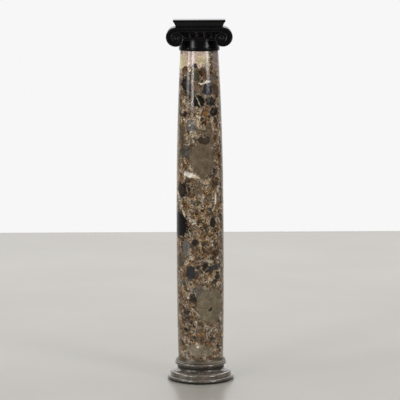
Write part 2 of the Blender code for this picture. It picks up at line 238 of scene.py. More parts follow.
def shaft_radius(level):
    """Radius of the shaft above its flare."""
    if level >= BELLY_LEVEL:
        share = (level - BELLY_LEVEL) / (shaft_high.z - BELLY_LEVEL)
        return SHAFT_BELLY_RADIUS - (SHAFT_BELLY_RADIUS - SHAFT_TOP_RADIUS) * share ** UPPER_SWELL_POWER
    share = (BELLY_LEVEL - level) / (BELLY_LEVEL - flare_level)
    return SHAFT_BELLY_RADIUS - (SHAFT_BELLY_RADIUS - SHAFT_FOOT_RADIUS) * share ** LOWER_SWELL_POWER


def shaft_profile():
    """Outline of the shaft as (radius, height) points, from its underside to its top."""
    brink = SHAFT_EDGE_BREAK / 2
    turn = math.radians(FOOT_FLARE_TURN)
    wide = (fillet_edge - SHAFT_FOOT_RADIUS) / (1 - math.cos(turn))
    tall = FOOT_FLARE_HEIGHT / math.sin(turn)
    profile = [(0, shaft_low.z), (fillet_edge - brink, shaft_low.z), (fillet_edge, shaft_low.z + brink)]
    profile += arc((SHAFT_FOOT_RADIUS + wide, flare_level), (-wide, -tall), FOOT_FLARE_TURN, 0, steps=14)[:-1]
    for row in range(SHAFT_ROWS + 1):
        level = flare_level + (shaft_high.z - SHAFT_EDGE_BREAK - flare_level) * row / SHAFT_ROWS
        profile.append((shaft_radius(level), level))
    profile += [(SHAFT_TOP_RADIUS - SHAFT_EDGE_BREAK, shaft_high.z), (0, shaft_high.z)]
    return profile


shaft = finish_shape("breccia_shaft", spun(shaft_profile(), TURNED_SEGMENTS))
settle(shaft, "shaft")

# %% [markdown]
# ## Capital
# The capital is one carved block: a round neck, a bead, an egg-and-dart moulding, two rolls that end in
# spirals on the front and on the back, and a square slab on top. A carver roughs out the large forms and
# cuts the relief last. Here each form is a closed shape of its own, and unions make one stone of them.

# %% Sizes of the capital
cap_low, cap_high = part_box("capital")
SCROLL_RADIUS = 0.0307
EYE_INSET = 0.0030
EYE_DROP = 0.0036
NECK_SHOWING = 0.0147
SCROLL_DROP = 0.0025
CHANNEL_HEIGHT = 0.0165
ECHINUS_HEIGHT = 0.0250
BEAD_HEIGHT = 0.0050
ABACUS_WIDTH = 0.1672
ABACUS_FOOT_WIDTH = 0.1512
FACE_DEPTH = 0.1560
NECK_RADIUS = 0.0659
SINK = 0.0020                     # how far one shape reaches into its neighbour

roll_x = cap_high.x - SCROLL_RADIUS
scroll_bottom = cap_low.z + NECK_SHOWING
scroll_level = scroll_bottom + SCROLL_RADIUS
scroll_top = scroll_level + SCROLL_RADIUS
abacus_bottom = scroll_top + SCROLL_DROP
channel_bottom = abacus_bottom - CHANNEL_HEIGHT
echinus_bottom = channel_bottom - ECHINUS_HEIGHT
bead_bottom = echinus_bottom - BEAD_HEIGHT
eye_x = roll_x - EYE_INSET
eye_level = scroll_level - EYE_DROP
face_y = FACE_DEPTH / 2
print("scroll middle", round(roll_x * 1000, 1), round(scroll_level * 1000, 1), "mm")

# %% [markdown]
# ## Neck and egg-and-dart
# The neck is turned. The moulding above it is turned too, and then carved: twenty eggs, each in a shell
# with a deep groove round it, and a dart between each two. The relief is a height over the round surface.
# So the moulding is a ring of points that is extruded level by level, and a formula of a point's place in
# one egg's field pushes it out or in.

# %% Neck
NECK_WAIST = 0.0022
NECK_STRAIGHT = 0.30              # share of the neck that is straight, from its foot
BEAD_PROJECTION = 0.0013
NECK_EDGE_BREAK = 0.0010


def neck_profile():
    """Outline of the neck and its bead. A thinner plug runs up inside the moulding above."""
    bead = BEAD_HEIGHT / 2
    plug = NECK_RADIUS - NECK_WAIST - SINK
    straight_top = cap_low.z + (bead_bottom - cap_low.z) * NECK_STRAIGHT
    rounding = (NECK_EDGE_BREAK, NECK_EDGE_BREAK)
    profile = [(0, cap_low.z)]
    profile += arc((NECK_RADIUS - NECK_EDGE_BREAK, cap_low.z + NECK_EDGE_BREAK), rounding, -90, 0, steps=4)
    profile += arc((NECK_RADIUS, bead_bottom), (-NECK_WAIST, straight_top - bead_bottom), 90, 0, steps=12)
    bead_middle = (NECK_RADIUS + BEAD_PROJECTION - bead, bead_bottom + bead)
    profile += arc(bead_middle, (bead, bead), -90, 90, steps=12)
    profile += [(plug, echinus_bottom), (plug, channel_bottom + SINK * 2), (0, channel_bottom + SINK * 2)]
    return profile


print("neck", round((bead_bottom - cap_low.z) * 1000, 1), "mm high below its bead")

# %% Egg-and-dart
EGG_COUNT = 20
EGG_TURN = math.radians(12.4)     # direction of the first egg, from -Y towards +X
EGG_COLUMNS = 20
EGG_ROWS = 22
EGG_RELIEF = 0.0042
ECHINUS_PROJECTION = 0.0140
EGG_HALF_WIDTH = 0.25             # shares of the field from egg to egg
EGG_MIDDLE = 0.86                 # height of the egg's widest place, as a share of the moulding
EGG_DROP = 0.70                   # how far the egg hangs down from there
GROOVE_END = 1.22                 # rings round the egg, in egg radii
SHELL_END = 1.66
DART_HALF_WIDTH = 0.055
DART_FOOT = 0.4                   # dart's width at the foot and its growth up to the lip, as shares
DART_GROWTH = 1.2
GROOVE_DEPTH = 0.55               # depths and heights as shares of the egg's relief
SHELL_HEIGHT = 0.5
DART_HEIGHT = 0.7
FIELD_DEPTH = 0.45
ECHINUS_BULGE = 0.85              # under 1 makes the moulding fuller than a quarter-round
RELIEF_START = 1 / 6              # share of the height over which the carving grows out of the foot


def egg_relief(across, up):
    """Height of the carving: across runs from -0.5 to 0.5 round an egg, up from 0 to 1 over the moulding."""
    ring = math.hypot(across / EGG_HALF_WIDTH, (up - EGG_MIDDLE) / EGG_DROP)
    if ring < 1:
        return EGG_RELIEF * math.sqrt(1 - ring * ring)
    if ring < GROOVE_END:
        return -EGG_RELIEF * GROOVE_DEPTH * math.sin(math.pi * (ring - 1) / (GROOVE_END - 1))
    if ring < SHELL_END:
        share = (ring - GROOVE_END) / (SHELL_END - GROOVE_END)
        return EGG_RELIEF * SHELL_HEIGHT * math.sin(math.pi * share)
    aside = 0.5 - abs(across)
    width = DART_HALF_WIDTH * (DART_FOOT + DART_GROWTH * up)
    if aside < width:
        return EGG_RELIEF * DART_HEIGHT * (1 - aside / width)
    return -EGG_RELIEF * FIELD_DEPTH


def echinus_rings():
    """Rings of points from the foot of the moulding to its lip, with the carving on them."""
    columns = EGG_COUNT * EGG_COLUMNS
    foot_radius = NECK_RADIUS + BEAD_PROJECTION
    lip = NECK_RADIUS + ECHINUS_PROJECTION
    sections = [(foot_radius - SINK * 2, echinus_bottom - SINK / 4, None)]
    for row in range(EGG_ROWS + 1):
        share = row / EGG_ROWS
        bulge = math.sin(share * math.pi / 2) ** ECHINUS_BULGE
        level = echinus_bottom + (ECHINUS_HEIGHT - SINK / 4) * share
        sections.append((foot_radius + (lip - foot_radius) * bulge, level, share))
    sections.append((lip - SINK * 3, channel_bottom + SINK, None))
    rings = []
    for radius, level, share in sections:
        ring = []
        for column in range(columns):
            across = (column / EGG_COLUMNS + 0.5) % 1.0 - 0.5
            growth = 0.0 if share is None else min(1.0, share / RELIEF_START)
            reach = radius + (egg_relief(across, share) * growth if growth else 0.0)
            angle = EGG_TURN + math.tau * column / columns
            ring.append((reach * math.sin(angle), -reach * math.cos(angle), level))
        rings.append(ring)
    return rings


print("an egg's field is", round(math.tau * NECK_RADIUS / EGG_COUNT * 1000, 1), "mm wide at the neck")

# %% [markdown]
# ## Scrolls
# From the side a roll looks like a bolster: full at both ends, drawn in to a waist, with a belt round it.
# Its end shows a spiral. The spiral's raised fillet starts at the eye, winds outwards two turns, runs over
# the top of the channel to the other roll and winds in again. Between the fillets the face is hollowed, so
# each fillet keeps a sharp inner edge that catches the light.

# %% Spiral
SPIRAL_TURNS = 2.0
SPIRAL_END_RADIUS = 0.0095
SPIRAL_POWER = 1.25
FACE_STEPS = 44                   # places in each turn of a spiral


def spiral_radius(turn):
    """Distance of the spiral's outer edge from the eye, from half a turn on."""
    span = max((SPIRAL_TURNS - turn) / (SPIRAL_TURNS - 0.5), 0.0)
    return SPIRAL_END_RADIUS + (eye_level - scroll_bottom - SPIRAL_END_RADIUS) * span ** SPIRAL_POWER


def scroll_point(turn, inset):
    """Place (x, z) on the right scroll: turn 0 is the top of the roll, and it winds outwards and down."""
    angle = math.tau * turn
    if turn <= 0.5:
        reach = SCROLL_RADIUS - inset
        return roll_x + reach * math.sin(angle), scroll_level + reach * math.cos(angle)
    reach = spiral_radius(turn) - inset
    return eye_x + reach * math.sin(angle), eye_level + reach * math.cos(angle)


for turn in (0.5, 1.0, 1.5, 2.0):
    print("after", turn, "turns the spiral is", round(spiral_radius(turn) * 1000, 1), "mm from its middle")

# %% [markdown]
# ## Rolls
# A roll is one closed ring of points, the spiral's own outer turn, that is extruded from face to face. Each
# place along it has a size of its own: full behind the face, a smooth waist, and a belt with a round cord
# at each edge.

# %% Rolls
ROLL_RIM = 0.0090
ROLL_WAIST = 0.72
BELT_SIZE = 0.80
BELT_HALF_WIDTH = 0.0090
BELT_CORD = 0.0040                # round cord along each edge of the belt
BELT_CORD_RISE = 0.035            # how far the cord stands out, as a share of the roll's size
BELT_SIDE = 0.0001                # the belt's side is nearly upright
BELT_STATIONS = 6
OUTLINE_POINTS = 72
ROLL_STATIONS = 16


def roll_sections():
    """(distance from the middle, size) of one half of a roll, from its face to its belt."""
    reach = face_y - ROLL_RIM
    sections = [(face_y, 1.0), (reach, 1.0)]
    for step in range(1, ROLL_STATIONS + 1):
        share = step / ROLL_STATIONS
        size = ROLL_WAIST + (1 - ROLL_WAIST) * (1 + math.cos(math.pi * share)) / 2
        sections.append((reach + (BELT_HALF_WIDTH - reach) * share, size))
    for step in range(BELT_STATIONS + 1):
        share = step / BELT_STATIONS
        rise = BELT_CORD_RISE * math.sin(math.pi * share)
        sections.append((BELT_HALF_WIDTH - BELT_CORD * share - BELT_SIDE, BELT_SIZE + rise))
    return sections


def roll_rings(side):
    """Rings of points along a whole roll, from its front face to its back face."""
    outline = [scroll_point(step / OUTLINE_POINTS, 0.0) for step in range(OUTLINE_POINTS)]
    sections = roll_sections()
    sections += [(-depth, size) for depth, size in reversed(sections)]
    rings = []
    for depth, size in sections:
        ring = []
        for x, z in outline:
            ring.append((side * (roll_x + (x - roll_x) * size), -depth, scroll_top + (z - scroll_top) * size))
        rings.append(ring)
    return rings


print("a roll has", 2 * len(roll_sections()), "sections of", OUTLINE_POINTS, "points")

# %% [markdown]
# ## Fillet and hollow
# The raised fillet and the hollow beside it are two sections that travel the same way: out of the left eye,
# round the spiral, over the top of the channel and into the right eye. Where they cross an earlier turn,
# the union makes the clean inner corner that a chisel leaves.

# %% Spiral fillet and hollow
FILLET_WIDTH = 0.0034
FILLET_HEIGHT = 0.0031
FILLET_INSET = 0.0007             # fillet's outer edge, in from the roll's outline
FILLET_END = 0.45                 # width left where the fillet meets the eye
HOLLOW_RIM_HEIGHT = 0.0016
HOLLOW_FLOOR_HEIGHT = 0.0004
HOLLOW_STEPS = 8
HOLLOW_START = 0.6                # where the hollow starts, as a share of its fillet's width
HOLLOW_REACH = 0.4                # how far it runs in under the next fillet, as a share of that one's width
HOLLOW_LEAST = 0.0004
CHANNEL_FILLET_SIZE = 0.8         # width and height of the channel's lower edge, as shares of the spiral's
CHANNEL_FILLET_HEIGHT = 0.96
EYE_RADIUS = 0.0084
EYE_OVERLAP = 0.0012              # how far the last hollow runs in under the eye


def fillet_width(turn):
    """The fillet gets narrower as it winds in."""
    return FILLET_WIDTH * (1 - (1 - FILLET_END) * turn / SPIRAL_TURNS)


def fillet_section(width):
    """Half-round top of the fillet as (inset, height) points, with its foot sunk in the face."""
    half = width / 2
    top = arc((0, FILLET_HEIGHT - half), (half, half), 0, 180, steps=8)
    points = [(0.0, -SINK)]
    points += [(half - across, up) for across, up in top]
    points.append((width, -SINK))
    return points


def hollow_section(turn):
    """Hollow between this turn's fillet and the next one, as (inset, height) points."""
    start = fillet_width(turn) * HOLLOW_START
    inner = min(turn + 1, SPIRAL_TURNS)
    if turn <= 0.5:
        x, z = scroll_point(turn, 0.0)
        outer_reach = math.hypot(x - eye_x, z - eye_level)
    else:
        outer_reach = spiral_radius(turn)
    end_reach = spiral_radius(inner) if turn < 1 else EYE_RADIUS - EYE_OVERLAP
    end = outer_reach - end_reach + FILLET_INSET
    if turn < 1:
        end += fillet_width(inner) * HOLLOW_REACH
    end = max(end, start + HOLLOW_LEAST)
    points = [(start, -SINK)]
    for step in range(HOLLOW_STEPS + 1):
        share = step / HOLLOW_STEPS
        dip = math.sin(math.pi * share)
        height = HOLLOW_RIM_HEIGHT - (HOLLOW_RIM_HEIGHT - HOLLOW_FLOOR_HEIGHT) * dip
        points.append((start + (end - start) * share, height))
    points.append((end, -SINK))
    return points


def face_rings(section_at, front, last_turn):
    """Sections along the whole front: out of the left eye, over the channel, and into the right eye."""
    steps = round(last_turn * FACE_STEPS)
    right = []
    for step in range(steps + 1):
        turn = last_turn * step / steps
        ring = []
        for inset, height in section_at(turn):
            x, z = scroll_point(turn, inset + FILLET_INSET)
            ring.append((x, height, z))
        right.append(ring)
    left = [[(-x, height, z) for x, height, z in ring] for ring in reversed(right)]
    return [[(x * front, -front * (face_y + height), z) for x, height, z in ring] for ring in left + right]


def channel_fillet_rings(front):
    """Lower edge of the channel, in line with the second turn of the spiral."""
    half = FILLET_WIDTH / 2
    level = channel_bottom + half / 2
    rings = []
    for x in (-eye_x, eye_x):
        ring = []
        for inset, height in fillet_section(FILLET_WIDTH * CHANNEL_FILLET_SIZE):
            ring.append((x, -front * (face_y + height * CHANNEL_FILLET_HEIGHT), level + half - inset))
        rings.append(ring)
    return rings


print("the fillet narrows from", fillet_width(0) * 1000, "to", fillet_width(SPIRAL_TURNS) * 1000, "mm")

# %% [markdown]
# ## Eyes
# The spiral ends at its eye, a round boss with a small hole in its middle. It is turned here like the foot,
# and then laid on the face.

# %% Eyes
EYE_HEIGHT = 0.0046
EYE_DIMPLE_RADIUS = 0.0034
EYE_DIMPLE_DEPTH = 0.0030
EYE_DIMPLE_TAPER = 0.75           # the drilled hole is narrower at its floor
EYE_SEGMENTS = 40


def eye_shape(side, front):
    """Turned boss with a drilled middle, laid on the face."""
    ring_middle = (EYE_RADIUS + EYE_DIMPLE_RADIUS) / 2
    ring_half = (EYE_RADIUS - EYE_DIMPLE_RADIUS) / 2
    profile = [(0, -SINK), (EYE_RADIUS, -SINK)]
    profile += arc((ring_middle, EYE_HEIGHT - ring_half), (ring_half, ring_half), 0, 180, steps=12)
    dimple_level = EYE_HEIGHT - EYE_DIMPLE_DEPTH
    profile += [(EYE_DIMPLE_RADIUS * EYE_DIMPLE_TAPER, dimple_level), (0, dimple_level)]
    shape = spun(profile, EYE_SEGMENTS)
    turn = Matrix.Rotation(math.radians(90), 4, "X")
    if front < 0:
        turn = Matrix.Rotation(math.radians(-90), 4, "X")
    place = Matrix.Translation((side * eye_x, -front * face_y, eye_level))
    bmesh.ops.transform(shape, matrix=place @ turn, verts=shape.verts)
    return shape


print("an eye stands", EYE_HEIGHT * 1000, "mm out of its face")

# %% [markdown]
# ## Slab and block
# The slab on top is square. It starts as one square of edges that is extruded upwards and widened step by
# step, which gives the hollow side, and the edges of its band are broken with a fine bevel, as worn stone
# has them. Below it, a plain block fills the space between the rolls and shows as the channel.

# %% Slab
SLAB_BAND_HEIGHT = 0.0068
SLAB_BAND_STEP = 0.0018
SLAB_FOOT_FILLET = 0.0016
SLAB_HOLLOW_STEPS = 10
SLAB_HOLLOW_POWER = 1.25
SLAB_BEVEL = 0.0007
CHANNEL_RECESS = 0.0008


def square(half_x, half_y, level):
    corners = ((-1, -1), (1, -1), (1, 1), (-1, 1))
    return [(half_x * right, half_y * back, level) for right, back in corners]


def slab_shape():
    foot_half = ABACUS_FOOT_WIDTH / 2
    band = ABACUS_WIDTH / 2
    under_band = band - SLAB_BAND_STEP
    hollow_bottom = abacus_bottom + SLAB_FOOT_FILLET
    band_bottom = cap_high.z - SLAB_BAND_HEIGHT
    sections = [(foot_half, abacus_bottom), (foot_half, hollow_bottom)]
    for step in range(1, SLAB_HOLLOW_STEPS + 1):
        share = step / SLAB_HOLLOW_STEPS
        half = foot_half + (under_band - foot_half) * share ** SLAB_HOLLOW_POWER
        sections.append((half, hollow_bottom + (band_bottom - hollow_bottom) * share))
    sections += [(band, band_bottom + SLAB_BEVEL / 2), (band, cap_high.z)]
    shape = swept([square(half, half, level) for half, level in sections])
    over = band_bottom + SLAB_BEVEL / 4
    band_edges = [edge for edge in shape.edges if all(vert.co.z > over for vert in edge.verts)]
    bmesh.ops.bevel(
        shape, geom=band_edges, offset=SLAB_BEVEL, offset_type="OFFSET", affect="EDGES",
        segments=3, profile=0.5, material=-1, clamp_overlap=True,
    )
    return shape


def block_rings():
    """Block between the rolls that carries the plain channel, narrowing up to the foot of the slab."""
    face = face_y - CHANNEL_RECESS
    foot_half = ABACUS_FOOT_WIDTH / 2 - SINK / 2
    shoulder = scroll_top - SINK / 2
    return [
        square(roll_x, face, channel_bottom),
        square(roll_x, face, shoulder),
        square(foot_half, foot_half, abacus_bottom + SINK / 4),
        square(foot_half, foot_half, abacus_bottom + SINK),
    ]


print("slab", round((cap_high.z - abacus_bottom) * 1000, 1), "mm high and", ABACUS_WIDTH * 1000, "mm wide")

# %% [markdown]
# ## One stone
# The carved capital is one piece of stone, so its forms are united. Each reaches a little into its
# neighbours, so no two faces lie in one plane. The union is made once for all, and the shapes that went
# into it are deleted.

# %% Join the capital
def united(name, shapes):
    """Union closed shapes into one stone. MANIFOLD is used because EXACT leaves open edges at the spirals."""
    pieces = [finish_shape(f"{name}_{number}", shape) for number, shape in enumerate(shapes)]
    whole, *others = pieces
    for other in others:
        union = whole.modifiers.new("join", "BOOLEAN")
        union.operation = "UNION"
        union.solver = "MANIFOLD"
        union.object = other
    bpy.context.view_layer.update()
    mesh = bpy.data.meshes.new_from_object(whole.evaluated_get(bpy.context.evaluated_depsgraph_get()))
    for piece in pieces:
        bpy.data.objects.remove(piece, do_unlink=True)
    mesh.name = name
    mesh.materials.clear()
    mesh.shade_smooth()
    mesh.set_sharp_from_angle(angle=SHARP_ANGLE)
    stone = bpy.data.objects.new(name, mesh)
    bpy.context.scene.collection.objects.link(stone)
    return stone


LAST_HOLLOW_TURN = SPIRAL_TURNS - 0.02   # the hollow stops just short of the fillet's own end

parts = [swept(block_rings()), swept(roll_rings(1)), swept(roll_rings(-1)), slab_shape()]
parts += [spun(neck_profile(), TURNED_SEGMENTS), swept(echinus_rings())]
for front in (1, -1):
    parts.append(swept(face_rings(hollow_section, front, LAST_HOLLOW_TURN)))
    parts.append(swept(face_rings(lambda turn: fillet_section(fillet_width(turn)), front, SPIRAL_TURNS)))
    parts.append(swept(channel_fillet_rings(front)))
    parts += [eye_shape(side, front) for side in (1, -1)]
capital = united("carved_capital", parts)
settle(capital, "capital")

# %% [markdown]
# ## Materials
# Stone is solid, so its pattern is worked out in space, in metres from the column's foot. A turned surface
# then cuts through it as a saw does. A few short functions add a node, set it and link it. Sizes of patterns
# are in millimetres, and what moves or raises the stone is in metres.

# %% Nodes
def hex_colour(code):
    """sRGB hex to linear RGBA."""
    linear = []
    for start in (1, 3, 5):
        share = int(code[start:start + 2], 16) / 255
        linear.append(share / 12.92 if share <= 0.04045 else ((share + 0.055) / 1.055) ** 2.4)
    return (*linear, 1.0)


def put(tree, kind, inputs=None, **settings):
    """Add a node with its settings. An input takes a value, or the socket that feeds it."""
    node = tree.nodes.new(kind)
    for name, value in settings.items():
        setattr(node, name, value)
    for socket, value in (inputs or {}).items():
        if isinstance(value, bpy.types.NodeSocket):
            tree.links.new(value, node.inputs[socket])
        else:
            node.inputs[socket].default_value = value
    return node


def maths(tree, operation, *values):
    """One sum on numbers or on the sockets that feed them."""
    return put(tree, "ShaderNodeMath", dict(enumerate(values)), operation=operation).outputs[0]


def scaled(tree, vector, factor):
    return put(tree, "ShaderNodeVectorMath", {0: vector, "Scale": factor}, operation="SCALE").outputs[0]


def moved(tree, place, shift, amount):
    """Push a place by a random colour, by up to half of amount each way, in metres."""
    middle = (0.5, 0.5, 0.5)
    centred = put(tree, "ShaderNodeVectorMath", {0: shift, 1: middle}, operation="SUBTRACT").outputs[0]
    push = scaled(tree, centred, amount)
    return put(tree, "ShaderNodeVectorMath", {0: place, 1: push}, operation="ADD").outputs[0]


def blend(tree, factor, first, second, mode="MIX"):
    """Mix two colours. At factor 1 only the second shows."""
    node = put(tree, "ShaderNodeMix", {0: factor, 6: first, 7: second}, data_type="RGBA", blend_type=mode)
    return node.outputs[2]


def fade(tree, value, low, high, start=0.0, end=1.0):
    """Soft step: start below low, end above high."""
    values = {"Value": value, "From Min": low, "From Max": high, "To Min": start, "To Max": end}
    return put(tree, "ShaderNodeMapRange", values, interpolation_type="SMOOTHSTEP").outputs[0]


def clouds(tree, place, size, detail=2.0, roughness=0.5):
    """Noise with features of a size in mm."""
    values = {"Vector": place, "Scale": 1000 / size, "Detail": detail, "Roughness": roughness}
    return put(tree, "ShaderNodeTexNoise", values)


def ramp(tree, value, stops, interpolation="LINEAR"):
    """Colour ramp through (position, hex colour) stops."""
    node = put(tree, "ShaderNodeValToRGB", {0: value})
    band = node.color_ramp
    band.interpolation = interpolation
    while len(band.elements) < len(stops):
        band.elements.new(0.5)
    for element, (position, code) in zip(band.elements, stops):
        element.position = position
        element.color = hex_colour(code)
    return node.outputs[0]


def new_stone(name):
    material = bpy.data.materials.new(name)
    material.use_nodes = True
    tree = material.node_tree
    place = put(tree, "ShaderNodeTexCoord").outputs["Object"]
    return material, tree, tree.nodes["Principled BSDF"], place


def bump(tree, shader, height, distance, strength=1.0):
    values = {"Height": height, "Distance": distance, "Strength": strength}
    tree.links.new(put(tree, "ShaderNodeBump", values).outputs[0], shader.inputs["Normal"])


# %% [markdown]
# ## Breccia
# Breccia is rock that was broken to pieces and cemented together again. Voronoi cells of three sizes give
# the pieces, and the distance to a cell's edge gives the cement between them. Cells that are pushed aside
# in steps make the pieces angular. The pieces that stand out in the photograph are laid over that one by
# one: each has its place in the picture, and the camera's own geometry carries it onto the shaft.

# %% Stone colours
STONE = {
    "black": "#0B0909", "slate": "#282A31", "charcoal": "#241F1B", "umber": "#2D231A", "brown": "#48382B",
    "tan": "#6E5442", "ochre": "#8A6236", "beige": "#96826F", "cream": "#D2C2A6", "white": "#F4ECDE",
    "olive": "#6B5E4C", "grey": "#625B52", "mauve": "#6D5A59", "rust": "#573625", "moss": "#494839",
    "sand": "#DECCA6", "pink": "#DBC3B5", "stone": "#7C715A", "dune": "#8C816B",
    "lilac": "#988781", "ash": "#66676A",
}
FINE = (
    "umber", "tan", "black", "charcoal", "olive", "rust", "umber", "black", "beige", "brown",
    "mauve", "olive", "charcoal", "ochre", "grey", "black", "cream", "brown", "charcoal", "tan",
)
MIDDLING = ("brown", "olive", "charcoal", "umber", "slate", "brown", "grey", "umber", "rust", "moss", "mauve")
LARGE = ("olive", "brown", "stone", "umber", "olive", "grey")
DARKEST, LIGHTEST = 0.7, 1.35     # how much one piece's colour differs from the next of the same name


def clasts(tree, place, size, names):
    """Broken pieces of a size in mm: their colour, a random value and the depth in mm from the joint."""
    scale = 1000 / size
    cells = put(tree, "ShaderNodeTexVoronoi", {"Vector": place, "Scale": scale})
    edges = put(tree, "ShaderNodeTexVoronoi", {"Vector": place, "Scale": scale}, feature="DISTANCE_TO_EDGE")
    chance = put(tree, "ShaderNodeSeparateColor", {0: cells.outputs["Color"]})
    stops = [(number / len(names), STONE[name]) for number, name in enumerate(names)]
    colour = ramp(tree, chance.outputs[0], stops, "CONSTANT")
    colour = scaled(tree, colour, fade(tree, chance.outputs[2], 0.0, 1.0, start=DARKEST, end=LIGHTEST))
    return colour, chance.outputs[1], maths(tree, "MULTIPLY", edges.outputs["Distance"], size)


# %% [markdown]
# ## Pieces that stand out
# The eye knows this column by its large pieces: the pale patches under the neck, the black pieces with
# white veins, two smooth olive ones and the small white flecks. Each is an ellipse with a ragged edge. Its
# place and half sizes are in pixels of the picture, its lean is in degrees, and cover says how far it hides
# the ground below it. Where a vein is named, a thin line of that colour runs round it.

# %% Pieces that stand out
Clast = collections.namedtuple("Clast", "x y wide tall lean colour vein cover")


def on_shaft(x, y):
    """Place on the shaft that a pixel of the picture shows, and metres to a pixel there."""
    centre = IMAGE_WIDTH / 2
    ray = camera.matrix_world.to_3x3() @ Vector((x - centre, centre - y, -FOCAL_PIXELS)).normalized()
    start = camera.matrix_world.translation
    radius = SHAFT_BELLY_RADIUS
    for _ in range(6):                # the radius settles after a few rounds
        flat = ray.x ** 2 + ray.y ** 2
        along = start.x * ray.x + start.y * ray.y
        root = along ** 2 - flat * (start.x ** 2 + start.y ** 2 - radius ** 2)
        reach = (-along - math.sqrt(max(root, 0.0))) / flat
        point = start + ray * reach
        radius = shaft_radius(max(min(point.z, shaft_high.z), flare_level))
    return point, reach / FOCAL_PIXELS


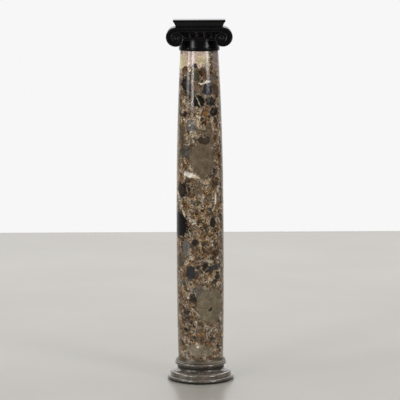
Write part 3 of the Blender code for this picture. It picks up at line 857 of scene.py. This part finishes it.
CLASTS = (
    # light zone under the neck
    Clast(193, 54, 28, 13, 0, "pink", None, 0.92),
    Clast(202, 60, 6, 5, 20, "sand", None, 0.9),
    Clast(182.0, 62, 3.6, 8, 10, "sand", None, 0.95),
    Clast(215.0, 60, 2.8, 12, 0, "lilac", None, 0.75),
    Clast(218.5, 60, 1.6, 12, 0, "beige", None, 0.85),
    Clast(185, 71, 3.2, 4, 20, "rust", None, 0.7),
    Clast(195, 66, 2.4, 3, 0, "charcoal", None, 0.8),
    # slate and black pieces with white veins
    Clast(184.5, 85, 3.0, 7, -8, "black", None, 0.9),
    Clast(189.0, 86, 2.4, 6, -8, "slate", "grey", 0.9),
    Clast(196.5, 75, 2.6, 7, 5, "moss", None, 0.85),
    Clast(203.5, 73, 2.4, 3.5, 0, "rust", "black", 0.8),
    Clast(212, 79, 4.2, 4.6, 10, "grey", None, 0.8),
    Clast(202.5, 83.4, 8.5, 1.1, -13, "white", None, 1.0),
    Clast(207, 81.8, 2.0, 1.2, -30, "white", None, 1.0),
    Clast(207.5, 90, 5.4, 6.2, -25, "slate", "beige", 0.95),
    Clast(196.5, 88, 3.5, 4.0, 10, "tan", "umber", 0.7),
    Clast(198.8, 101, 6.0, 6.4, -10, "black", "beige", 0.95),
    Clast(198.0, 101.3, 0.34, 4.6, -20, "cream", None, 0.9),
    Clast(210.8, 101, 5.0, 5.2, 25, "charcoal", "beige", 0.95),
    Clast(213.8, 111.5, 4.0, 4.4, -20, "black", "beige", 0.9),
    Clast(205, 113.5, 3.0, 2.2, 10, "ochre", "rust", 0.8),
    Clast(184.5, 114.5, 2.2, 3.0, 0, "black", None, 0.8),
    Clast(191, 126, 5, 5.5, 0, "ash", None, 0.6),
    Clast(184.2, 119.5, 0.9, 0.9, 0, "white", None, 1.0),
    Clast(190, 125.7, 1.0, 0.9, 0, "white", None, 1.0),
    Clast(198.2, 122, 0.5, 4.2, -34, "cream", None, 1.0),
    Clast(201.8, 119.5, 1.6, 2.6, 30, "black", None, 0.8),
    Clast(214.5, 137, 2.2, 3.6, 15, "rust", "beige", 0.6),
    # large smooth piece above the middle
    Clast(203, 158, 14, 21.5, 4, "olive", None, 0.9),
    Clast(204, 140, 6.4, 4.6, 0, "umber", None, 0.55),
    Clast(189.5, 175.0, 6.0, 2.6, 10, "white", "beige", 1.0),
    Clast(196, 177.4, 4.6, 1.3, 12, "cream", None, 1.0),
    # between the large piece and the middle
    Clast(215.4, 199, 1.0, 8, 4, "white", None, 0.85),
    Clast(214, 209, 0.9, 4.0, 34, "cream", None, 0.95),
    Clast(183, 190, 6.5, 8, 0, "black", None, 0.85),
    Clast(187, 190, 0.4, 5, -15, "beige", None, 0.8),
    Clast(178.6, 224, 7.6, 13.5, -6, "black", None, 1.0),
    Clast(183.4, 212.5, 0.7, 4.6, -28, "cream", None, 0.95),
    Clast(212.8, 222.5, 3.0, 5.0, 5, "charcoal", "beige", 0.95),
    Clast(195, 242.5, 3.4, 3.6, 0, "charcoal", "tan", 0.95),
    Clast(186.2, 247.8, 2.7, 7.4, 0, "ash", "beige", 0.85),
    Clast(212, 241, 1.0, 0.8, 0, "white", None, 1.0),
    Clast(212.2, 245, 1.1, 0.8, 0, "white", None, 1.0),
    Clast(217.5, 258, 1.0, 1.0, 0, "white", None, 1.0),
    Clast(216.5, 252.5, 3.4, 3.4, 0, "charcoal", None, 0.7),
    Clast(205.5, 266.5, 2.8, 4.4, 10, "black", None, 0.9),
    Clast(214.5, 267.5, 7.5, 3.2, -16, "slate", None, 0.85),
    Clast(207.5, 270.5, 2.2, 1.8, 0, "black", None, 0.9),
    Clast(217.5, 276, 2.6, 5, 0, "charcoal", None, 0.8),
    Clast(190.5, 273, 4.6, 7.5, 5, "slate", "tan", 0.95),
    # lower shaft
    Clast(211, 306, 17, 17, -20, "stone", None, 0.85),
    Clast(210.3, 309.5, 1.2, 3.0, 50, "black", None, 0.95),
    Clast(196.0, 312.8, 0.6, 5.8, -44, "cream", None, 1.0),
    Clast(192.6, 309.4, 1.0, 1.1, 0, "cream", None, 1.0),
    Clast(188.5, 318, 1.8, 2.8, -25, "black", None, 0.75),
    Clast(201, 335, 4.2, 3.4, 0, "ochre", None, 0.5),
    Clast(215.5, 279.5, 1.0, 1.2, 0, "black", None, 0.9),
    Clast(188.3, 297.8, 0.9, 0.8, 0, "white", None, 1.0),
    Clast(188.3, 237.2, 1.4, 1.4, 0, "black", None, 0.9),
    Clast(191.0, 322.8, 1.4, 1.6, 0, "black", None, 0.9),
    Clast(185.5, 329.4, 2.0, 2.0, 0, "black", None, 0.9),
    Clast(194.4, 326.6, 1.0, 2.5, -60, "charcoal", None, 0.9),
    Clast(196.7, 322.8, 0.9, 1.0, 0, "white", None, 1.0),
    Clast(199, 351, 18, 6.5, 0, "dune", None, 0.7),
    Clast(211.7, 338.0, 1.6, 2.0, 0, "charcoal", None, 0.85),
    Clast(218.0, 346.7, 1.4, 2.5, 0, "charcoal", None, 0.85),
    Clast(197.8, 347.2, 1.5, 1.3, 0, "white", None, 0.9),
    Clast(188.3, 345.0, 1.4, 1.2, 0, "cream", None, 0.9),
)


CLAST_EDGE = 0.7                  # pixels that an edge is soft over
CLAST_DEPTH = 0.02                # m that a piece reaches into the stone
LEAST_COSINE = 0.45               # a piece near the shaft's side isn't widened past this
VEIN_OUTSIDE = 1.7                # where the vein starts and ends, in widths of the soft edge
VEIN_INSIDE = 0.8
VEIN_COVER = 0.6


def lay_clast(tree, place, ragged, colour, covered, clast):
    """Lay one piece over the pieces so far. Its edge bends with the same push as the rest of the stone."""
    point, pixel = on_shaft(clast.x, clast.y)
    azimuth = math.atan2(point.x, -point.y)
    widening = 1 / max(math.cos(azimuth), LEAST_COSINE)
    size = (clast.wide * pixel * widening, CLAST_DEPTH, clast.tall * pixel)
    turn = (0, math.radians(clast.lean), azimuth)
    values = {"Vector": place, "Location": point, "Rotation": turn, "Scale": size}
    local = put(tree, "ShaderNodeMapping", values, vector_type="TEXTURE").outputs[0]
    distance = put(tree, "ShaderNodeVectorMath", {0: local}, operation="LENGTH").outputs["Value"]
    distance = maths(tree, "ADD", distance, ragged)
    edge = CLAST_EDGE * pixel / min(size[0], size[2])
    if clast.vein:
        ring = fade(tree, distance, 1 + VEIN_OUTSIDE * edge, 1 + VEIN_INSIDE * edge)
        colour = blend(tree, ring, colour, hex_colour(STONE[clast.vein]))
        covered = maths(tree, "MAXIMUM", covered, maths(tree, "MULTIPLY", ring, VEIN_COVER))
    inside = fade(tree, distance, 1 + edge / 2, 1 - edge / 2)
    colour = blend(tree, inside, colour, hex_colour(STONE[clast.colour]))
    return colour, maths(tree, "MAXIMUM", covered, maths(tree, "MULTIPLY", inside, clast.cover))


print(len(CLASTS), "pieces are laid by hand")

# %% [markdown]
# ## The ground between them
# Between the large pieces lies a crumb of 5 to 6 mm, with middling pieces of 15 mm and a few of 44 mm. The
# front leaves room for the listed pieces, so fewer cells of the two larger sizes are filled there
# than behind. The cement runs from ochre to cream, and its joints widen and nearly close as they wander.

# %% Ground of the breccia
FINE_SIZE, MEDIUM_SIZE, LARGE_SIZE = 5.6, 15, 44     # mm, from one piece's middle to the next
FRONT, BACK = -0.03, 0.03         # m along Y, where the front's share of pieces ends and the back's starts
MEDIUM_LEFT_OUT = (0.60, 0.45)    # share of cells that stay crumb, in front and behind
LARGE_LEFT_OUT = (0.88, 0.62)
CEMENT = ((0.40, "#987249"), (0.52, "#C0A684"), (0.64, "#DDCDB5"))
FINE_JOINT = (0.22, 0.95)         # mm to each side, narrowest and widest joint of the crumb
WIDE_JOINT = (0.1, 2.0)           # mm to each side, the same for the larger pieces
HUE_SIZE, WANDER_SIZE, JOINT_SIZE = 26, 18, 11       # mm, changes of the cement's hue and of the joints
CRUMB_CEMENT, MEDIUM_CEMENT, LARGE_CEMENT = 0.75, 0.85, 0.7      # how far cement covers the three sizes
MEDIUM_COVER, LARGE_COVER = 0.8, 0.85                # how far a larger piece hides what it lies in


def broken_ground(tree, place, curled, broken):
    """Colour of the crumb and of the pieces in it, with the cement in all joints."""
    fine, _, fine_depth = clasts(tree, curled, FINE_SIZE, FINE)
    medium, medium_chance, medium_depth = clasts(tree, broken, MEDIUM_SIZE, MIDDLING)
    large, large_chance, large_depth = clasts(tree, broken, LARGE_SIZE, LARGE)
    away = put(tree, "ShaderNodeSeparateXYZ", {0: place}).outputs["Y"]
    is_medium = maths(tree, "GREATER_THAN", medium_chance, fade(tree, away, FRONT, BACK, *MEDIUM_LEFT_OUT))
    is_large = maths(tree, "GREATER_THAN", large_chance, fade(tree, away, FRONT, BACK, *LARGE_LEFT_OUT))
    cement = ramp(tree, clouds(tree, place, HUE_SIZE).outputs[0], CEMENT)
    wander = clouds(tree, place, WANDER_SIZE, detail=3.0, roughness=0.6).outputs[0]

    fine_width = fade(tree, clouds(tree, place, JOINT_SIZE).outputs[0], 0.35, 0.65, *FINE_JOINT)
    thin = fade(tree, maths(tree, "DIVIDE", fine_depth, fine_width), 1.0, 0.45)
    colour = blend(tree, maths(tree, "MULTIPLY", thin, CRUMB_CEMENT), fine, cement)
    colour = blend(tree, maths(tree, "MULTIPLY", is_medium, MEDIUM_COVER), colour, medium)
    width = fade(tree, wander, 0.40, 0.66, *WIDE_JOINT)
    web = fade(tree, maths(tree, "DIVIDE", medium_depth, width), 1.0, 0.4)
    colour = blend(tree, maths(tree, "MULTIPLY", web, MEDIUM_CEMENT), colour, cement)
    colour = blend(tree, maths(tree, "MULTIPLY", is_large, LARGE_COVER), colour, large)
    seam = fade(tree, maths(tree, "DIVIDE", large_depth, width), 1.3, 0.5)
    return blend(tree, maths(tree, "MULTIPLY", seam, LARGE_CEMENT), colour, cement)


print("crumb, middling and large pieces are", FINE_SIZE, MEDIUM_SIZE, LARGE_SIZE, "mm apart")

# %% [markdown]
# ## Polished breccia
# Noise bends the whole pattern slowly, curls the crumb and pushes the edges in small steps, which breaks
# them. A grit of light and dark runs through the crumb and is calmer in the smooth pieces. The flare at the
# foot is plain, duller stone. The shaft was ground and polished, so it mirrors the windows nearly sharply.

# %% Polished breccia
DRIFT_SIZE, CURL_SIZE, STEP_SIZE = 34, 10, 7         # mm, sizes of the three bends
DRIFT, CURL, STEP = 0.016, 0.008, 0.0045             # m, how far each bends the ground
CLAST_DRIFT, CLAST_STEP = 0.006, 0.0035              # m, the same for the listed pieces
RAGGED = 0.22                     # how far a piece's edge wanders, as a share of its size
RAGGED_SIZE, GRIT_SIZE, PATCH_SIZE = 7, 5, 20        # mm
GRIT = (0.40, 1.36)               # darkest and lightest grit
CALM = 1.03                       # brightness that the grit is mixed towards on the listed pieces
CALM_SHARE = 0.6
PATCHES = (0.8, 1.2)              # darkest and lightest patches of the whole stone
FLARE_COLOURS = ((0.35, "#443A2A"), (0.65, "#695C46"))
FLARE_CLOUDS = 30                 # mm
FLARE_START, FLARE_FULL = 0.001, -0.005              # m above the flare's upper edge
FLARE_ROUGHNESS = 0.3
GRAIN_SIZE = 9                    # mm, drawn coarser than real polishing marks so that it shows
GRAIN_HEIGHT = 0.00012            # m
POLISH = (0.10, 0.20)             # smoothest and roughest place


def breccia_stone():
    material, tree, shader, place = new_stone("polished_breccia")
    drift = clouds(tree, place, DRIFT_SIZE).outputs["Color"]
    curl = clouds(tree, place, CURL_SIZE).outputs["Color"]
    steps = put(tree, "ShaderNodeTexVoronoi", {"Vector": place, "Scale": 1000 / STEP_SIZE}).outputs["Color"]
    soft = moved(tree, place, drift, DRIFT)
    curled = moved(tree, soft, curl, CURL)
    broken = moved(tree, soft, steps, STEP)
    for_clasts = moved(tree, moved(tree, place, drift, CLAST_DRIFT), steps, CLAST_STEP)
    rough_edge = clouds(tree, place, RAGGED_SIZE, detail=3.0, roughness=0.65).outputs[0]
    ragged = fade(tree, rough_edge, 0.25, 0.75, -RAGGED, RAGGED)
    laid = hex_colour(STONE["brown"])
    covered = 0.0
    for clast in CLASTS:
        laid, covered = lay_clast(tree, for_clasts, ragged, laid, covered, clast)

    colour = broken_ground(tree, place, curled, broken)
    colour = blend(tree, covered, colour, laid)
    speckle = clouds(tree, curled, GRIT_SIZE, detail=4.0, roughness=0.7).outputs[0]
    grit = fade(tree, speckle, 0.3, 0.7, *GRIT)
    calm = maths(tree, "MULTIPLY", covered, CALM_SHARE)
    colour = scaled(tree, colour, put(tree, "ShaderNodeMix", {0: calm, 2: grit, 3: CALM}).outputs[0])
    patches = clouds(tree, soft, PATCH_SIZE, detail=3.0).outputs[0]
    colour = scaled(tree, colour, fade(tree, patches, 0.3, 0.7, *PATCHES))
    level = put(tree, "ShaderNodeSeparateXYZ", {0: place}).outputs["Z"]
    plain = ramp(tree, clouds(tree, place, FLARE_CLOUDS, detail=4.0).outputs[0], FLARE_COLOURS)
    in_flare = fade(tree, level, flare_level + FLARE_START, flare_level + FLARE_FULL)
    colour = blend(tree, in_flare, colour, plain)

    tree.links.new(colour, shader.inputs["Base Color"])
    grain = clouds(tree, place, GRAIN_SIZE, detail=3.0).outputs[0]
    polish = fade(tree, grain, 0.3, 0.7, *POLISH)
    roughness = maths(tree, "MAXIMUM", polish, maths(tree, "MULTIPLY", in_flare, FLARE_ROUGHNESS))
    tree.links.new(roughness, shader.inputs["Roughness"])
    shader.inputs["IOR"].default_value = 1.53
    bump(tree, shader, grain, GRAIN_HEIGHT)
    return material


# %% [markdown]
# ## Grey-brown and black marble
# The foot's stone is clouded in faint level beds, as limestone is laid down, with a few thin light veins.
# It was turned and polished. Under the rim and in the hollow, shade is painted into its colour, nearly black,
# and the stone is duller there. The black stone of the capital is nearly even, and its carved surface keeps
# a softer polish than the turned stones. Only the flat top of the slab was ground to a mirror.

# %% Grey-brown marble
HOLLOW_SHADE_LEVEL = 0.0425              # m above the floor, the middle of the shade that is painted in the hollow
HOLLOW_SHADE_HALF_HEIGHT = 0.0056
RIM_SHADE_TOP = 0.60              # painted shade also lies under the rim, as shares of the disc's height
RIM_SHADE_FULL = 0.42
# near-black colour of the painted shade
PAINTED_SHADE_COLOUR = "#0D0C0B"
BED_SQUEEZE = 2.6                 # the beds are this much longer than high
MARBLE_TONES = ((0.30, "#453F37"), (0.44, "#5F574D"), (0.56, "#756B60"), (0.66, "#8A8075"), (0.78, "#998F7E"))
MARBLE_HUES = ((0.40, "#6E7065"), (0.62, "#7F766D"))
MARBLE_CLOUDS, MARBLE_HUE_SIZE = 42, 60              # mm
THREAD_CELLS = 16.0               # cells of the vein net to a metre
THREAD_DRIFT = 0.05               # m that the net is bent by
THREAD_EDGE = (0.012, 0.004)      # where a vein fades in and is full, as shares of a cell
THREAD_COLOUR = "#B7AA94"
WAX = 0.9                         # a coat of wax on the polished mouldings, none where shade is painted


def grey_brown_stone():
    material, tree, shader, place = new_stone("grey_brown_marble")
    bedded = put(tree, "ShaderNodeMapping", {"Vector": place, "Scale": (1.0, 1.0, BED_SQUEEZE)}).outputs[0]
    clouded = clouds(tree, bedded, MARBLE_CLOUDS, detail=5.0, roughness=0.62)
    colour = ramp(tree, clouded.outputs[0], MARBLE_TONES)
    hue = clouds(tree, place, MARBLE_HUE_SIZE, detail=1.0).outputs[0]
    colour = blend(tree, 0.35, colour, ramp(tree, hue, MARBLE_HUES), "OVERLAY")
    threads = moved(tree, place, clouded.outputs["Color"], THREAD_DRIFT)
    net = {"Vector": threads, "Scale": THREAD_CELLS}
    cracks = put(tree, "ShaderNodeTexVoronoi", net, feature="DISTANCE_TO_EDGE")
    vein = fade(tree, cracks.outputs["Distance"], *THREAD_EDGE)
    colour = blend(tree, maths(tree, "MULTIPLY", vein, 0.4), colour, hex_colour(THREAD_COLOUR))
    level = put(tree, "ShaderNodeSeparateXYZ", {0: place}).outputs["Z"]
    # Painted shade: the colour is darkened nearly to black under the rim and in the hollow, where shade
    # falls.
    shade_under_rim = fade(tree, level, PLINTH_HEIGHT * RIM_SHADE_TOP, PLINTH_HEIGHT * RIM_SHADE_FULL)
    throat = maths(tree, "ABSOLUTE", maths(tree, "SUBTRACT", level, HOLLOW_SHADE_LEVEL))
    painted_shade_zone = maths(tree, "MAXIMUM", shade_under_rim, fade(tree, throat, HOLLOW_SHADE_HALF_HEIGHT, HOLLOW_SHADE_HALF_HEIGHT * 0.4))
    colour = blend(tree, maths(tree, "MULTIPLY", painted_shade_zone, 0.85), colour, hex_colour(PAINTED_SHADE_COLOUR))
    tree.links.new(colour, shader.inputs["Base Color"])
    grain = clouds(tree, place, 7, detail=3.0).outputs[0]
    polish = fade(tree, grain, 0.3, 0.7, start=0.20, end=0.32)
    roughness = maths(tree, "MAXIMUM", polish, maths(tree, "MULTIPLY", painted_shade_zone, 0.6))
    tree.links.new(roughness, shader.inputs["Roughness"])
    shader.inputs["IOR"].default_value = 1.52
    coat = maths(tree, "MULTIPLY", maths(tree, "SUBTRACT", 1.0, painted_shade_zone), WAX)
    tree.links.new(coat, shader.inputs["Coat Weight"])
    shader.inputs["Coat Roughness"].default_value = 0.16
    bump(tree, shader, grain, 0.0001)
    return material


# %% Black marble
BLACK_TONES = ((0.35, "#070607"), (0.6, "#0B0A0C"), (0.75, "#131114"))
TOP_ROUGHNESS = 0.04
TOP_EDGE = (0.0003, 0.0001)       # m below the top, where the mirror polish starts and is full


def black_stone():
    material, tree, shader, place = new_stone("carved_black_marble")
    clouded = clouds(tree, place, 30, detail=5.0, roughness=0.6)
    tree.links.new(ramp(tree, clouded.outputs[0], BLACK_TONES), shader.inputs["Base Color"])
    grain = clouds(tree, place, 5, detail=4.0, roughness=0.6).outputs[0]
    level = put(tree, "ShaderNodeSeparateXYZ", {0: place}).outputs["Z"]
    top = fade(tree, level, cap_high.z - TOP_EDGE[0], cap_high.z - TOP_EDGE[1])
    carved = fade(tree, grain, 0.3, 0.7, start=0.16, end=0.28)
    roughness = put(tree, "ShaderNodeMix", {0: top, 2: carved, 3: TOP_ROUGHNESS}).outputs[0]
    tree.links.new(roughness, shader.inputs["Roughness"])
    shader.inputs["IOR"].default_value = 1.5
    shader.inputs["Specular IOR Level"].default_value = 0.3
    bump(tree, shader, maths(tree, "MULTIPLY", grain, maths(tree, "SUBTRACT", 1.0, top)), 0.0001)
    return material


for piece, material in ((foot, grey_brown_stone()), (shaft, breccia_stone()), (capital, black_stone())):
    piece.data.materials.append(material)
    print(material.name, len(material.node_tree.nodes), "nodes")

# %% [markdown]
# ## Floor
# The floor is smooth, pale, cast concrete with a sealed surface. It mirrors the wall softly, and shade is
# painted into its colour: darker in front, a little lighter towards the wall. One flat face is enough for it.

# %% Floor
FLOOR_BACK = 3.22                 # m behind the column, where the floor meets the white wall
FLOOR_HALF = (8.0, 6.0)
FLOOR_TONES = ((0.3, "#ABA79F"), (0.7, "#B4B0A7"))
FLOOR_NEAR, FLOOR_FAR = -0.8, 2.4                    # m along Y, over which the floor's painted shade lightens
FLOOR_NEAR_PAINTED_SHADE = 0.80

floor_shape = bmesh.new()
bmesh.ops.create_grid(floor_shape, x_segments=1, y_segments=1, size=1.0)
bmesh.ops.scale(floor_shape, vec=(*FLOOR_HALF, 1), verts=floor_shape.verts)
bmesh.ops.translate(floor_shape, vec=(0, FLOOR_BACK - FLOOR_HALF[1], 0), verts=floor_shape.verts)
floor = bpy.data.objects.new("floor", bpy.data.meshes.new("floor"))
floor_shape.to_mesh(floor.data)
floor_shape.free()
bpy.context.scene.collection.objects.link(floor)
floor_material, floor_tree, floor_shader, floor_place = new_stone("sealed_concrete")
mottled = clouds(floor_tree, floor_place, 900, detail=3.0).outputs[0]
floor_colour = ramp(floor_tree, mottled, FLOOR_TONES)
# Painted shade: the floor's colour is darker near the camera and lighter towards the wall, as the room's
# light falls.
depth = put(floor_tree, "ShaderNodeSeparateXYZ", {0: floor_place}).outputs["Y"]
painted_floor_shade = fade(floor_tree, depth, FLOOR_NEAR, FLOOR_FAR, start=FLOOR_NEAR_PAINTED_SHADE, end=1.0)
floor_tree.links.new(scaled(floor_tree, floor_colour, painted_floor_shade), floor_shader.inputs["Base Color"])
floor_shader.inputs["Roughness"].default_value = 0.25
floor.data.materials.append(floor_material)
print("floor", 2 * FLOOR_HALF[0], "by", 2 * FLOOR_HALF[1], "m")

# %% [markdown]
# ## Light
# The room is white and wide, and polished stone mirrors it. Two tall windows on the left and one on the
# right draw the upright streaks on the shaft. The white wall behind gives its edges a pale rim, and the
# side where the camera stands is dark, which keeps the black stone black. Ceiling lamps in front, at both
# sides and above the wall light the floor and the tops of the mouldings.

# %% Light
AIM = Vector((0, 0, 0.7))         # the ceiling lamps point here
DARK_SIDE = 0.08                  # brightness of the room in front, as the stone mirrors it
WHITE_WALL = 0.95                 # brightness of the wall behind, as the stone mirrors it
WALL_SEEN = 0.93                  # brightness of the wall as the camera sees it
LAMPS = (
    # name, azimuth in degrees from -Y towards +X, distance, height, width and length in m, watts, upright
    ("window_left", -38, 3.0, 1.95, 0.62, 2.2, 32, True),
    ("window_far_left", -65, 3.0, 2.05, 0.60, 2.2, 28, True),
    ("window_right", 48.4, 3.0, 2.14, 0.84, 2.2, 49, True),
    ("ceiling", 0, 0.9, 4.4, 2.6, 0.7, 20, False),
    ("ceiling_left", -100, 2.4, 4.2, 2.4, 2.4, 30, False),
    ("ceiling_right", 100, 2.4, 4.2, 2.4, 2.4, 30, False),
    ("ceiling_back", 180, 3.8, 4.2, 7.0, 3.0, 205, False),
)


def softbox(name, azimuth, distance, height, width, tall, power, upright):
    """Area light that points at the column. An upright one points level, like a window."""
    light = bpy.data.lights.new(name, "AREA")
    light.shape = "RECTANGLE"
    light.size = width
    light.size_y = tall
    light.energy = power
    lamp = bpy.data.objects.new(name, light)
    bpy.context.scene.collection.objects.link(lamp)
    angle = math.radians(azimuth)
    lamp.location = (distance * math.sin(angle), -distance * math.cos(angle), height)
    aim = AIM - lamp.location
    if upright:
        aim.z = 0
    lamp.rotation_mode = "QUATERNION"
    lamp.rotation_quaternion = aim.to_track_quat("-Z", "Y")
    print(name, power, "W")


for lamp_row in LAMPS:
    softbox(*lamp_row)

world = bpy.data.worlds.new("white_room")
bpy.context.scene.world = world
world.use_nodes = True
room = world.node_tree
background = room.nodes["Background"]
direction = put(room, "ShaderNodeSeparateXYZ", {0: put(room, "ShaderNodeTexCoord").outputs["Generated"]})
wall = fade(room, direction.outputs["Y"], 0.40, 1.00, start=DARK_SIDE, end=WHITE_WALL)
seen = put(room, "ShaderNodeLightPath").outputs["Is Camera Ray"]
strength = put(room, "ShaderNodeMix", {0: seen, 2: wall, 3: WALL_SEEN}).outputs[0]
room.links.new(strength, background.inputs["Strength"])
background.inputs["Color"].default_value = (1.0, 1.0, 1.0, 1.0)
bpy.context.scene.view_settings.view_transform = "Standard"
